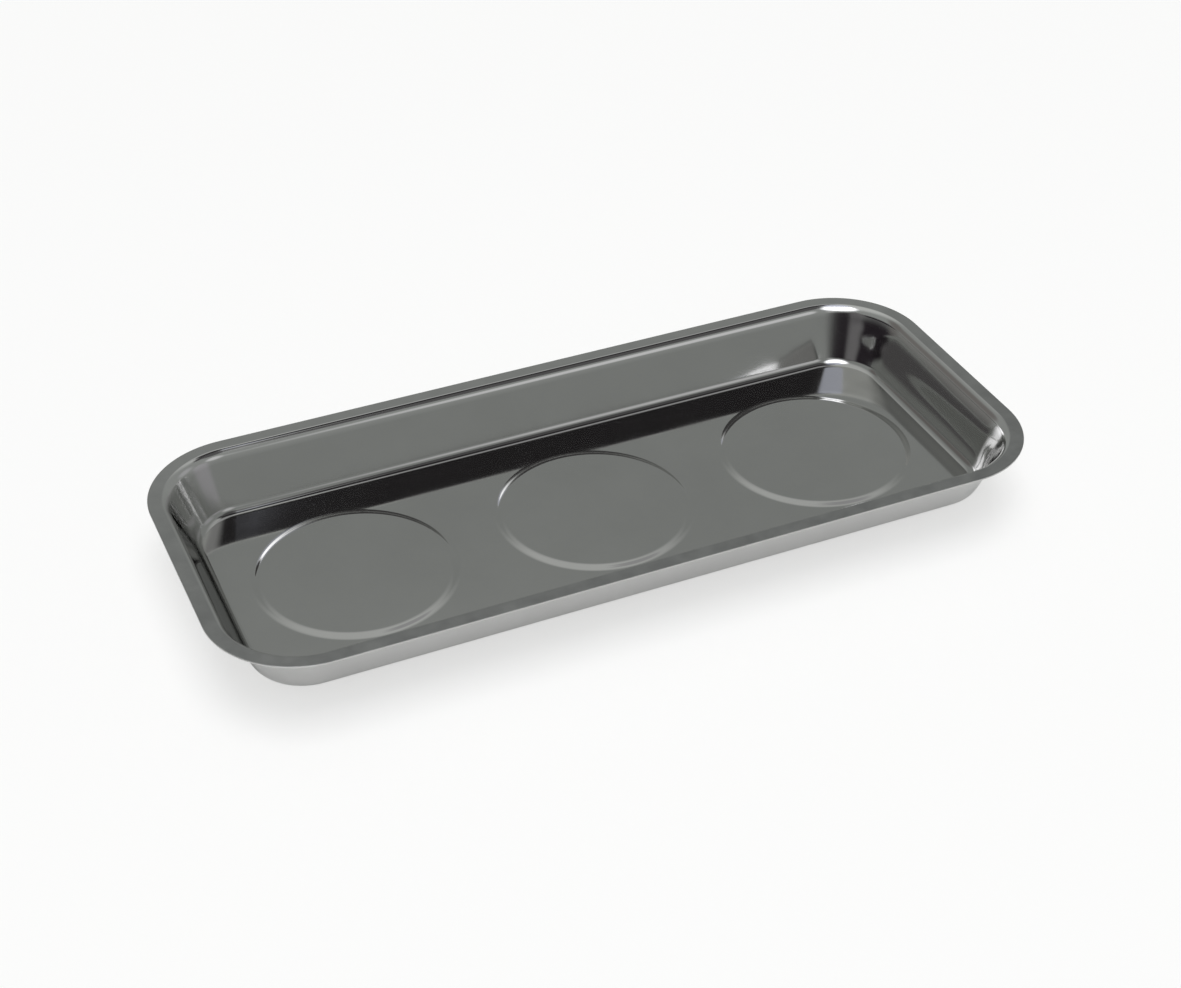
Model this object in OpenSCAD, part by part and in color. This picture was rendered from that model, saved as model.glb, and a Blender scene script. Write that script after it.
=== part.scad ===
// Magnetic parts tray: a tray drawn from one sheet of polished stainless steel, which stands on
// three ring magnets. Each magnet hangs under a raised pad of the floor, screwed to a welded boss,
// inside a rubber cover.
// The origin is on the plane that the covers stand on, under the middle of the tray.
// X runs along the tray, and Z points up out of it.

/* [Tray] */
// Overall length, over the flange
rim_length = 350; // [320:1:460]
// Overall width, over the flange
rim_width = 152.4; // [132:0.2:200]
// Corner radius of the flange's outer edge
rim_corner_r = 38.5; // [32:0.5:60]
// Height from the underside of the floor to the top of the flange
tray_depth = 25.4; // [20:0.2:40]
// Thickness of the steel sheet
sheet = 0.7; // [0.4:0.1:1.2]
// Flat width of the flange, from its edge to the bend
flange_flat = 4; // [2:0.1:10]
// Radius of the bend under the flange, on its upper face
flange_bend_r = 4.8; // [1.6:0.1:6]
// Radius of the bend round the floor, on its inner face
floor_bend_r = 4.5; // [2:0.1:8]
// Lean of the walls from upright, in degrees
wall_draft = 23; // [8:1:28]

/* [Pads] */
// Distance from each end of the flange to the middle of the pad beside it
pad_end = 71; // [66:0.5:84]
// Height of a pad over the floor
pad_rise = 0.8; // [0.4:0.1:1.6]
// Radial width of the step round a pad
pad_step = 4.2; // [2.5:0.1:5.5]

/* [Ring magnets] */
// Outer diameter of a magnet
magnet_d = 70; // [60:1:74]
// Bore of a magnet
magnet_bore = 32; // [30:0.5:38]
// Height of a magnet
magnet_h = 8; // [6:0.5:12]
// Chamfer on the edges of a magnet
magnet_chamfer = 0.5; // [0.2:0.1:1.2]

/* [Pole plates] */
// Thickness of the steel plate between a magnet and its pad
plate_t = 1.2; // [0.8:0.1:2]
// Hole in the plate, round the boss
plate_hole = 18; // [16:0.5:24]

/* [Retainers] */
// Outer diameter of the dished steel retainer under a magnet
retainer_d = 58; // [44:1:62]
// Thickness of the retainer
retainer_t = 1; // [0.6:0.1:1.6]
// Depth of the retainer's dish, which goes up into the bore
dish_depth = 4.2; // [3.8:0.1:5]
// Radial lean of the dish's wall
dish_lean = 2.5; // [1:0.1:4]

/* [Rubber covers] */
// Thickness of the cover's floor
cover_floor = 1.6; // [1.2:0.1:2.6]
// Thickness of the cover's side wall
cover_wall = 2.3; // [1.5:0.1:3.5]
// Thickness of the cover inside the dish
cover_web = 1.2; // [0.8:0.1:1.6]
// Radius of the cover's lower outer edge
cover_edge_r = 2.2; // [1:0.1:3]

/* [Fasteners] */
// Diameter of the screws
screw_d = 5; // [4:0.5:6]
// Diameter of the screw heads
screw_head_d = 10; // [8:0.5:12]
// Height of the screw heads
screw_head_h = 2.4; // [1.8:0.1:3]
// Diameter of the washers
washer_d = 15; // [12:0.5:18]
// Thickness of the washers
washer_t = 1; // [0.6:0.1:1.2]
// Diameter of the welded bosses
boss_d = 12; // [9:0.5:13]

/* [Hidden] */
$fn = 96;
STATIONS = ["left", "centre", "right"];
STATION_PIECES = ["pole_plate", "ring_magnet", "retainer", "rubber_cover"];

// Facets in one bend of the sheet, and in one rounded edge
bend_steps = 10;
edge_steps = 6;

// Clearances
cover_gap = 0.2;      // between a cover and what it wraps
seat_gap = 0.4;       // between a cover and the step of the pad that it seats in
dish_gap = 0.6;       // between a dish and the bore of the magnet
clamp_gap = 0.2;      // between a dish and the end of the boss
hole_gap = 0.25;      // round a screw, in what it passes through
thread_gap = 0.05;    // round a screw, in its boss
tip_gap = 0.4;        // between a screw's tip and the end of its hole
cut_over = 1;         // how far a cut runs past the face that it opens

// Small sizes of the bosses and screws
boss_roof = 0.8;      // of solid boss over the threaded hole
collar_w = 1;         // of weld round the foot of a boss
collar_h = 0.8;
screw_rim_h = 0.6;    // of upright edge under a head's dome
screw_point = 0.6;    // of chamfer at a screw's tip
recess_l = 5;         // of the cross recess in a head
recess_w = 1;
recess_depth = 1.3;

// Heights, from the plane that the covers stand on
magnet_z = cover_floor + retainer_t;
plate_z = magnet_z + magnet_h;
pad_z = plate_z + plate_t;
tray_z = pad_z - pad_rise;
web_top_z = cover_floor + dish_depth;
boss_end_z = web_top_z + retainer_t + clamp_gap;
washer_z = web_top_z - cover_web - washer_t;

// Spacing of the pads along the tray
pad_pitch = rim_length / 2 - pad_end;

// Radii round the middle of a pad
cover_r = magnet_d / 2 + cover_gap + cover_wall;
pad_flat_r = cover_r + seat_gap;
pad_r = pad_flat_r + pad_step;
dish_foot_r = magnet_bore / 2 - dish_gap;
dish_head_r = dish_foot_r - dish_lean;

// The step round a pad is two equal arcs that turn through this angle and back
pad_turn = 2 * atan(pad_rise / pad_step);
pad_arc_r = pad_step / 2 / sin(pad_turn);

// The section of the tray's wall, measured out from a corner's axis and up from the floor's underside.
// The wall's inner face runs straight from the flange's bend to the floor's bend, and touches both.
corner_x = rim_length / 2 - rim_corner_r;
corner_y = rim_width / 2 - rim_corner_r;
flange_bend_at = [rim_corner_r - flange_flat, tray_depth - flange_bend_r];
wall_head = flange_bend_at + flange_bend_r * [-cos(wall_draft), sin(wall_draft)];
floor_bend_z = sheet + floor_bend_r;
wall_drop = wall_head[1] - floor_bend_z + floor_bend_r * sin(wall_draft);
wall_foot_u = wall_head[0] - wall_drop * tan(wall_draft);
floor_bend_at = [wall_foot_u - floor_bend_r * cos(wall_draft), floor_bend_z];

// Points along an arc about a centre, from one angle to another
function arc(centre, r, from, to, steps) =
    [for (i = [0:steps]) let (a = from + (to - from) * i / steps) centre + r * [cos(a), sin(a)]];

// The tray's section, from the flange's edge down to the corner's axis: the upper face, then the lower
function tray_section() = concat(
    [[rim_corner_r, tray_depth]],
    arc(flange_bend_at, flange_bend_r, 90, 180 - wall_draft, bend_steps),
    arc(floor_bend_at, floor_bend_r, -wall_draft, -90, bend_steps),
    [[0, sheet], [0, 0]],
    arc(floor_bend_at, floor_bend_r + sheet, -90, -wall_draft, bend_steps),
    arc(flange_bend_at, flange_bend_r - sheet, 180 - wall_draft, 90, bend_steps),
    [[rim_corner_r, tray_depth - sheet]]
);

// One face of a pad's section, from the foot of the step to the flat top: an arc about a centre over
// the sheet, then one about a centre under it
function pad_face(z, foot_r, head_r) = concat(
    arc([pad_r, z + foot_r], foot_r, -90, -90 - pad_turn, bend_steps),
    arc([pad_flat_r, z + pad_rise - head_r], head_r, 90 - pad_turn, 90, bend_steps)
);

function reversed(list) = [for (i = [len(list) - 1:-1:0]) list[i]];

// A pad's section, from its edge to its middle
function pad_section() = concat(
    pad_face(sheet, pad_arc_r, pad_arc_r),
    [[0, sheet + pad_rise], [0, pad_rise]],
    reversed(pad_face(0, pad_arc_r + sheet, pad_arc_r - sheet))
);

// Places children at one magnet station, or at each of them
module at_station(i) {
    translate([(i - (len(STATIONS) - 1) / 2) * pad_pitch, 0, 0]) children();
}

module at_stations() {
    for (i = [0:len(STATIONS) - 1]) at_station(i) children();
}

// A straight run of the tray's wall, with its share of the floor, centred on the side that faces +Y
module wall_run(run) {
    rotate([90, 0, 90]) linear_extrude(height = run, center = true) polygon(tray_section());
}

// The floor and walls, before the pads are raised
module tray_pan() {
    for (side = [0, 180]) rotate([0, 0, side]) {
        translate([0, corner_y, 0]) wall_run(2 * corner_x);
        translate([corner_x, 0, 0]) rotate([0, 0, -90]) wall_run(2 * corner_y);
        translate([corner_x, corner_y, 0]) rotate_extrude(angle = 90) polygon(tray_section());
        translate([-corner_x, corner_y, 0]) rotate([0, 0, 90]) rotate_extrude(angle = 90)
            polygon(tray_section());
    }
    translate([-corner_x, -corner_y, 0]) cube([2 * corner_x, 2 * corner_y, sheet]);
}

// The tray, drawn from one sheet, with a pad raised over each magnet
module tray() {
    color("#8c8f8c") translate([0, 0, tray_z]) {
        difference() {
            tray_pan();
            at_stations() translate([0, 0, -cut_over]) cylinder(r = pad_r, h = sheet + 2 * cut_over);
        }
        at_stations() rotate_extrude() polygon(pad_section());
    }
}

// A threaded boss, welded to the underside of a pad
module weld_boss() {
    boss_h = pad_z - boss_end_z;
    color("#85888a") translate([0, 0, boss_end_z]) difference() {
        union() {
            cylinder(d = boss_d, h = boss_h);
            translate([0, 0, boss_h - collar_h])
                cylinder(d1 = boss_d, d2 = boss_d + 2 * collar_w, h = collar_h);
        }
        translate([0, 0, -cut_over])
            cylinder(d = screw_d + 2 * thread_gap, h = boss_h - boss_roof + cut_over);
    }
}

// A flat steel disc that spreads the magnet's pull under the pad
module pole_plate() {
    color("#9b9da0") translate([0, 0, plate_z]) difference() {
        cylinder(d = magnet_d, h = plate_t);
        translate([0, 0, -cut_over]) cylinder(d = plate_hole, h = plate_t + 2 * cut_over);
    }
}

// A ferrite ring, chamfered on all four edges
module ring_magnet() {
    color("#3b3b3d") translate([0, 0, magnet_z]) rotate_extrude() polygon([
        [magnet_bore / 2 + magnet_chamfer, 0],
        [magnet_d / 2 - magnet_chamfer, 0],
        [magnet_d / 2, magnet_chamfer],
        [magnet_d / 2, magnet_h - magnet_chamfer],
        [magnet_d / 2 - magnet_chamfer, magnet_h],
        [magnet_bore / 2 + magnet_chamfer, magnet_h],
        [magnet_bore / 2, magnet_h - magnet_chamfer],
        [magnet_bore / 2, magnet_chamfer]
    ]);
}

// A pressed steel dish: its flange bears on the magnet, and its middle goes up into the bore to the boss
module retainer() {
    hole_r = screw_d / 2 + hole_gap;
    color("#a5a7aa") translate([0, 0, cover_floor]) rotate_extrude() polygon([
        [retainer_d / 2, 0],
        [retainer_d / 2, retainer_t],
        [dish_foot_r, retainer_t],
        [dish_head_r, retainer_t + dish_depth],
        [hole_r, retainer_t + dish_depth],
        [hole_r, dish_depth],
        [dish_head_r - retainer_t, dish_depth],
        [dish_foot_r - retainer_t, 0]
    ]);
}

// A moulded rubber cup over the magnet, dished in the middle, where the washer clamps it.
// Its rim seats against the underside of the pad, inside the step.
module rubber_cover() {
    inner_r = cover_r - cover_wall;
    under_dish = retainer_t + cover_gap;
    hole_r = screw_d / 2 + hole_gap;
    color("#1e1e20") rotate_extrude() polygon(concat(
        arc([cover_r - cover_edge_r, cover_edge_r], cover_edge_r, -90, 0, edge_steps),
        [
            [cover_r, pad_z],
            [inner_r, pad_z],
            [inner_r, cover_floor],
            [dish_foot_r - under_dish, cover_floor],
            [dish_head_r - under_dish, web_top_z],
            [hole_r, web_top_z],
            [hole_r, web_top_z - cover_web],
            [dish_head_r - under_dish - cover_web, web_top_z - cover_web],
            [dish_foot_r - under_dish - cover_web, 0]
        ]
    ));
}

module washer() {
    color("#b4b7ba") translate([0, 0, washer_z]) difference() {
        cylinder(d = washer_d, h = washer_t);
        translate([0, 0, -cut_over])
            cylinder(d = screw_d + 2 * hole_gap, h = washer_t + 2 * cut_over);
    }
}

// A screw with a domed head, driven up through the washer into the boss
module screw() {
    head_r = screw_head_d / 2;
    dome_h = screw_head_h - screw_rim_h;
    dome_r = (head_r ^ 2 + dome_h ^ 2) / 2 / dome_h;
    shank_l = pad_z - boss_roof - tip_gap - washer_z;
    head_bottom = -screw_head_h;
    color("#b9bcbf") translate([0, 0, washer_z]) difference() {
        rotate_extrude() polygon(concat(
            arc([0, head_bottom + dome_r], dome_r, -90, -90 + asin(head_r / dome_r), edge_steps),
            [
                [head_r, 0],
                [screw_d / 2, 0],
                [screw_d / 2, shank_l - screw_point],
                [screw_d / 2 - screw_point, shank_l],
                [0, shank_l]
            ]
        ));
        for (turn = [0, 90]) rotate([0, 0, turn])
            translate([-recess_l / 2, -recess_w / 2, head_bottom - cut_over])
                cube([recess_l, recess_w, recess_depth + cut_over]);
    }
}

tray();
at_stations() weld_boss();  // weld_bosses
at_stations() washer();  // washers
at_stations() screw();  // screws
for (i = [0:len(STATIONS) - 1]) {
    at_station(i) pole_plate();
    at_station(i) ring_magnet();
    at_station(i) retainer();
    at_station(i) rubber_cover();
}
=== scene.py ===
import math
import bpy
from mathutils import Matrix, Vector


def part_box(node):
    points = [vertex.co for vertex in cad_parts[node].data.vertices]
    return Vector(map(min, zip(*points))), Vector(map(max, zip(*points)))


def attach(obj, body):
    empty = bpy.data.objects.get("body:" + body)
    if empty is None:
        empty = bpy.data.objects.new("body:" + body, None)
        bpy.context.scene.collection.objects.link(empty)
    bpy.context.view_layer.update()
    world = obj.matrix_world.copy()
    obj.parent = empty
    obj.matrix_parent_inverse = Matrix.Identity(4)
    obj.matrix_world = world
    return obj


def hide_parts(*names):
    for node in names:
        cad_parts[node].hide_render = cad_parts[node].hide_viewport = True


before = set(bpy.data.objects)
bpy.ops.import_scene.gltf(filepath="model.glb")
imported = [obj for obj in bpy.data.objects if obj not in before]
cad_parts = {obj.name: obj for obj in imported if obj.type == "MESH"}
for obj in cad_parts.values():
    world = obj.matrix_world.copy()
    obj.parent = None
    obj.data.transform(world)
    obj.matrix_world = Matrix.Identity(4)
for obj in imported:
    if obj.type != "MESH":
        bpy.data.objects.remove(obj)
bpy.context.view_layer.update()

from types import SimpleNamespace

import bmesh
import bpy
from bpy.props import FloatProperty, FloatVectorProperty, IntProperty, PointerProperty
from mathutils import Matrix, Vector

bl_info = {
    "name": "Magnetic parts tray",
    "version": (1, 0, 0),
    "blender": (4, 5, 0),
    "location": "View3D > Sidebar > Parts Tray",
    "description": "Builds a drawn stainless tray on rubber-covered ring magnets, and a studio stage",
    "category": "Object",
}

MM = 0.001
STATIONS = ("left", "centre", "right")
MIDDLE = STATIONS.index("centre")
IMAGE_WIDTH_PX = 1181
# Edges that turn by less than this are shaded smooth
SMOOTH_BELOW = math.radians(40)
# Points closer than this are one point
WELD = 0.001 * MM


def linear(hex_colour):
    """An sRGB hex colour as linear RGBA."""
    parts = [int(hex_colour[i:i + 2], 16) / 255 for i in (1, 3, 5)]
    return [p / 12.92 if p <= 0.04045 else ((p + 0.055) / 1.055) ** 2.4 for p in parts] + [1.0]


def per_mm(length):
    """A pattern's scale from the size of one of its cells, in millimetres."""
    return 1 / (length * MM)


# Nodes and finishes


def node(tree, kind, inputs=None, **settings):
    """Adds a node, sets it, and fills its inputs with values or with links from other nodes' outputs."""
    # Inputs go by name or place: MapRange takes 0 from the range 1 to 2 to the range 3 to 4, and a Mix of
    # colours goes from 6 to 7 by the share 0.
    made = tree.nodes.new("ShaderNode" + kind)
    for name, value in settings.items():
        setattr(made, name, value)
    for socket, value in (inputs or {}).items():
        if isinstance(value, bpy.types.NodeSocket):
            tree.links.new(value, made.inputs[socket])
        else:
            made.inputs[socket].default_value = value
    return made


def new_material(name):
    """A material with an empty tree, and the place on its piece that patterns read."""
    material = bpy.data.materials.new(name)
    material.use_nodes = True
    tree = material.node_tree
    tree.nodes.clear()
    return material, tree, node(tree, "TexCoord").outputs["Object"]


def finish_material(tree, inputs):
    """Closes a material with its shader and output."""
    shader = node(tree, "BsdfPrincipled", inputs)
    node(tree, "OutputMaterial", {"Surface": shader.outputs["BSDF"]})


# Stainless sheet: the wall's foot lies this share of the corners' radius out from their axes
FOOT_SHARE = 0.42


def sheet_place(tree, place, sizes):
    """Sockets that say where a point of the tray lies, seen from above."""
    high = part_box("tray")[1]
    core = Vector((high.x - sizes.corner_r, high.y - sizes.corner_r, 0))
    # The nearest point of the rectangle between the corners' axes, and the way out from it
    inner = node(tree, "VectorMath", {0: place, 1: -core}, operation="MAXIMUM")
    inner = node(tree, "VectorMath", {0: inner.outputs[0], 1: core}, operation="MINIMUM")
    out = node(tree, "VectorMath", {0: place, 1: inner.outputs[0]}, operation="SUBTRACT")
    out = node(tree, "VectorMath", {0: out.outputs[0], 1: (1, 1, 0)}, operation="MULTIPLY")
    spread = node(tree, "VectorMath", {0: out.outputs[0]}, operation="ABSOLUTE")
    return SimpleNamespace(
        own=node(tree, "SeparateXYZ", {0: place}).outputs,
        inner=node(tree, "SeparateXYZ", {0: inner.outputs[0]}).outputs,
        out=node(tree, "SeparateXYZ", {0: out.outputs[0]}).outputs,
        spread=node(tree, "SeparateXYZ", {0: spread.outputs[0]}).outputs,
        reach=node(tree, "VectorMath", {0: out.outputs[0]}, operation="LENGTH").outputs["Value"])


def draw_streaks(tree, where, sizes):
    """Streaks that drawing leaves, and their strength, which is greatest where a corner was gathered."""
    wall_share, gather_share, full_share = 0.7, 0.25, 0.6
    # They change along a wall and round a corner, and not down the wall
    bearing = node(tree, "Math", {0: where.out["Y"], 1: where.out["X"]}, operation="ARCTAN2")
    arc = node(tree, "Math", {0: bearing.outputs[0], 1: wall_share * sizes.corner_r}, operation="MULTIPLY")
    along = node(tree, "CombineXYZ", {"X": where.inner["X"], "Y": where.inner["Y"], "Z": arc.outputs[0]})
    streaks = node(tree, "TexNoise", {
        "Vector": along.outputs[0], "Scale": per_mm(8), "Detail": 0.6, "Roughness": 0.5})
    both_ways = node(tree, "Math", {0: where.spread["X"], 1: where.spread["Y"]}, operation="MINIMUM")
    gathered = node(tree, "MapRange", {
        0: both_ways.outputs[0], 1: 0.0, 2: gather_share * sizes.corner_r, 3: 0.1, 4: 1.0})
    on_wall = node(tree, "MapRange", {
        0: where.reach, 1: FOOT_SHARE * sizes.corner_r, 2: full_share * sizes.corner_r, 3: 0.0, 4: 1.0})
    pull = node(tree, "Math", {0: gathered.outputs[0], 1: on_wall.outputs[0]}, operation="MULTIPLY")
    return streaks.outputs[0], pull.outputs[0]


def sheet_relief(tree, place, where, sizes, streaks, pull, hairlines):
    """The sheet's normal: waves in the end walls, a sway of the right one, draw streaks and hairlines."""
    end_share, sway_share = 0.5, 0.55
    low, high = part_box("tray")
    waves = node(tree, "TexNoise", {"Vector": place, "Scale": per_mm(40), "Detail": 0.0})
    at_end = node(tree, "MapRange", {
        0: where.spread["X"], 1: FOOT_SHARE * sizes.corner_r, 2: end_share * sizes.corner_r, 3: 0.1, 4: 1.0})
    # The right end wall sways between its bends: more upright half way up, and less at its foot and head
    bend_share = 1 - math.sin(sizes.wall_draft)
    foot = low.z + sizes.sheet + bend_share * sizes.floor_bend_r
    head = high.z - bend_share * sizes.flange_bend_r
    upwards = node(tree, "MapRange", {0: where.own["Z"], 1: foot, 2: head, 3: 0.0, 4: -2 * math.pi})
    sway = node(tree, "Math", {0: upwards.outputs[0]}, operation="SINE")
    right_end = node(tree, "MapRange", {
        0: where.out["X"], 1: FOOT_SHARE * sizes.corner_r, 2: sway_share * sizes.corner_r, 3: 0.0, 4: 1.0})
    # Each layer's strength, pattern and depth in millimetres
    layers = (
        (at_end.outputs[0], waves.outputs[0], 0.4),
        (right_end.outputs[0], sway.outputs[0], 0.3),
        (pull, streaks, 0.012),
        (1.0, hairlines, 0.0005),
    )
    under = {}
    for strength, height, depth in layers:
        bump = node(tree, "Bump", {"Strength": strength, "Distance": depth * MM, "Height": height, **under})
        under = {"Normal": bump.outputs[0]}
    return bump.outputs[0]


def sheet_colour(tree, place, where, finishes, sizes, haze, sheared):
    """The sheet's colour: hazy where it is handled, with a painted sheen on the flange's bend, painted shade
    on the flange that is darkest at its front, and dull on the sheared edge.
    """
    edge, back = sizes.corner_r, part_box("tray")[1].y
    tone = node(tree, "MapRange", {0: haze, 1: 0.3, 2: 0.75, 3: 0.0, 4: 1.0})
    # The die's edge burnished the bend that the sheet slid over
    # Painted sheen: a brighter tone from the bend under the flange outwards, which strengthens that bend's
    # highlight
    bend_starts, bend_whole = edge - 9.2 * MM, edge - 8.2 * MM
    bend_sheen = node(tree, "MapRange", {0: where.reach, 1: bend_starts, 2: bend_whole, 3: 0.0, 4: 1.0})
    # Painted shade: the flange is darker than the rest of the sheet, in random clouds, and darker at its
    # front than at its back
    cloud = node(tree, "TexNoise", {"Vector": place, "Scale": per_mm(9), "Detail": 2.0})
    clouded = node(tree, "MapRange", {0: cloud.outputs[0], 1: 0.3, 2: 0.7, 3: 0.7, 4: 1.0})
    shade_at_front = node(tree, "MapRange", {0: where.own["Y"], 1: -back, 2: back, 3: 1.0, 4: 0.4})
    cloud_and_front_shade = node(tree, "Math", {0: clouded.outputs[0], 1: shade_at_front.outputs[0]}, operation="MULTIPLY")
    flange_starts, flange_whole = edge - 6.2 * MM, edge - 5.4 * MM
    flange_cloud_and_shade = node(tree, "MapRange", {
        0: where.reach, 1: flange_starts, 2: flange_whole, 3: 0.0, 4: cloud_and_front_shade.outputs[0]})
    layers = (
        (tone.outputs[0], finishes.steel_haze),
        (bend_sheen.outputs[0], finishes.bend_sheen_tone),
        (flange_cloud_and_shade.outputs[0], finishes.flange),
        (sheared, finishes.sheared_edge),
    )
    colour = (*finishes.steel, 1.0)
    for share, layer in layers:
        mix = node(tree, "Mix", {0: share, 6: colour, 7: (*layer, 1.0)}, data_type="RGBA")
        colour = mix.outputs[2]
    return colour


def polished_stainless(finishes, sizes):
    """Stainless sheet, rolled, drawn to a pan and buffed."""
    # A grey mirror. Buffing leaves hairlines along the tray, hands leave soft hazy patches, drawing leaves
    # streaks down the walls that are strongest where a corner was gathered, and the sheared edge is dull.
    material, tree, place = new_material("polished_stainless")
    where = sheet_place(tree, place, sizes)
    streaks, pull = draw_streaks(tree, where, sizes)
    # Real buffing lines are some hundredths of a millimetre wide: these are coarser, so that they show
    hair_map = node(tree, "Mapping", {"Vector": place, "Scale": (per_mm(60), per_mm(0.8), per_mm(0.8))})
    hairlines = node(tree, "TexNoise", {
        "Vector": hair_map.outputs[0], "Scale": 1.0, "Detail": 3.0}).outputs[0]
    haze = node(tree, "TexNoise", {
        "Vector": place, "Scale": per_mm(32), "Detail": 4.0, "Roughness": 0.6}).outputs[0]
    edge_starts, edge_whole = sizes.corner_r - 0.22 * MM, sizes.corner_r - 0.08 * MM
    sheared = node(tree, "MapRange", {
        0: where.reach, 1: edge_starts, 2: edge_whole, 3: 0.0, 4: 1.0}).outputs[0]
    # Haze, draw streaks and hairlines each roughen the mirror a little, and the cut edge is satin
    streak_rough, hair_rough, cut_rough = 0.05, 0.02, 0.38
    rough = node(tree, "MapRange", {0: haze, 1: 0.4, 2: 0.7, 3: 0.05, 4: 0.085})
    rough = node(tree, "Math", {0: pull, 1: streak_rough, 2: rough.outputs[0]}, operation="MULTIPLY_ADD")
    rough = node(tree, "Math", {0: hairlines, 1: hair_rough, 2: rough.outputs[0]}, operation="MULTIPLY_ADD")
    rough = node(tree, "Mix", {0: sheared, 2: rough.outputs[0], 3: cut_rough}, data_type="FLOAT")
    # Painted shade: a darker reflection tint dims the end walls where they are seen edge on
    end_shade_starts, end_shade_whole = 0.3 * sizes.corner_r, 0.46 * sizes.corner_r
    endways = node(tree, "Math", {0: where.spread["X"], 1: where.spread["Y"]}, operation="SUBTRACT")
    end_wall_shade = node(tree, "MapRange", {0: endways.outputs[0], 1: end_shade_starts, 2: end_shade_whole, 3: 1.0, 4: 0.5})
    finish_material(tree, {
        "Base Color": sheet_colour(tree, place, where, finishes, sizes, haze, sheared),
        "Metallic": 1.0, "Roughness": rough.outputs[0], "Specular Tint": end_wall_shade.outputs[0],
        "Normal": sheet_relief(tree, place, where, sizes, streaks, pull, hairlines)})
    return material


def moulded_rubber(finishes):
    """Black rubber, moulded in a blasted tool."""
    # Matt, with the tool's fine stipple, a greyish bloom in patches, and scuffs on the face it stands on.
    material, tree, place = new_material("moulded_rubber")
    rubber, grey, scuffed = (*finishes.rubber, 1.0), (*finishes.rubber_bloom, 1.0), linear("#54524e")
    # Blasted tools leave a grain of about 0.2 mm: this one is coarser, so that it shows
    stipple = node(tree, "TexNoise", {"Vector": place, "Scale": per_mm(0.5), "Detail": 2.0})
    bloom = node(tree, "TexNoise", {"Vector": place, "Scale": per_mm(14), "Detail": 4.0, "Roughness": 0.6})
    scuff_turn = (0, 0, math.radians(35))
    scuff_map = node(tree, "Mapping", {
        "Vector": place, "Rotation": scuff_turn, "Scale": (per_mm(9), per_mm(0.6), per_mm(3))})
    scuffs = node(tree, "TexNoise", {"Vector": scuff_map.outputs[0], "Scale": 1.0, "Detail": 3.0})
    worn = node(tree, "MapRange", {0: scuffs.outputs[0], 1: 0.58, 2: 0.72, 3: 0.0, 4: 0.5})
    height = node(tree, "SeparateXYZ", {0: place}).outputs["Z"]
    scuffs_whole, scuffs_end = 0.25 * MM, 0.9 * MM
    low_down = node(tree, "MapRange", {0: height, 1: scuffs_whole, 2: scuffs_end, 3: 1.0, 4: 0.0})
    wear = node(tree, "Math", {0: worn.outputs[0], 1: low_down.outputs[0]}, operation="MULTIPLY")
    patches = node(tree, "MapRange", {0: bloom.outputs[0], 1: 0.4, 2: 0.75, 3: 0.0, 4: 0.55})
    bloomed = node(tree, "Mix", {0: patches.outputs[0], 6: rubber, 7: grey}, data_type="RGBA")
    colour = node(tree, "Mix", {0: wear.outputs[0], 6: bloomed.outputs[2], 7: scuffed}, data_type="RGBA")
    roughness = node(tree, "MapRange", {0: bloom.outputs[0], 1: 0.3, 2: 0.7, 3: 0.5, 4: 0.68})
    grain = node(tree, "Bump", {"Strength": 0.6, "Distance": 0.05 * MM, "Height": stipple.outputs[0]})
    finish_material(tree, {
        "Base Color": colour.outputs[2], "Roughness": roughness.outputs[0], "IOR": 1.52,
        "Normal": grain.outputs[0]})
    return material


def zinc_plate(name, cool, warm):
    """Mild steel, stamped or headed, then bright zinc plated and passivated."""
    # A satin grey metal, clouded where the plating crystallised, with a faint cool and warm bloom.
    material, tree, place = new_material(name)
    cloud = node(tree, "TexNoise", {"Vector": place, "Scale": per_mm(2.2), "Detail": 3.0})
    bloom = node(tree, "TexNoise", {"Vector": place, "Scale": per_mm(9), "Detail": 2.0})
    crystals = node(tree, "TexVoronoi", {"Vector": place, "Scale": per_mm(0.7)})
    tint = node(tree, "MapRange", {0: bloom.outputs[0], 1: 0.35, 2: 0.65, 3: 0.0, 4: 1.0})
    colour = node(tree, "Mix", {0: tint.outputs[0], 6: linear(cool), 7: linear(warm)}, data_type="RGBA")
    roughness = node(tree, "MapRange", {0: cloud.outputs[0], 1: 0.3, 2: 0.7, 3: 0.2, 4: 0.36})
    relief = node(tree, "Bump", {
        "Strength": 0.25, "Distance": 0.02 * MM, "Height": crystals.outputs["Distance"]})
    finish_material(tree, {
        "Base Color": colour.outputs[2], "Metallic": 1.0, "Roughness": roughness.outputs[0],
        "Normal": relief.outputs[0]})
    return material


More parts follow.
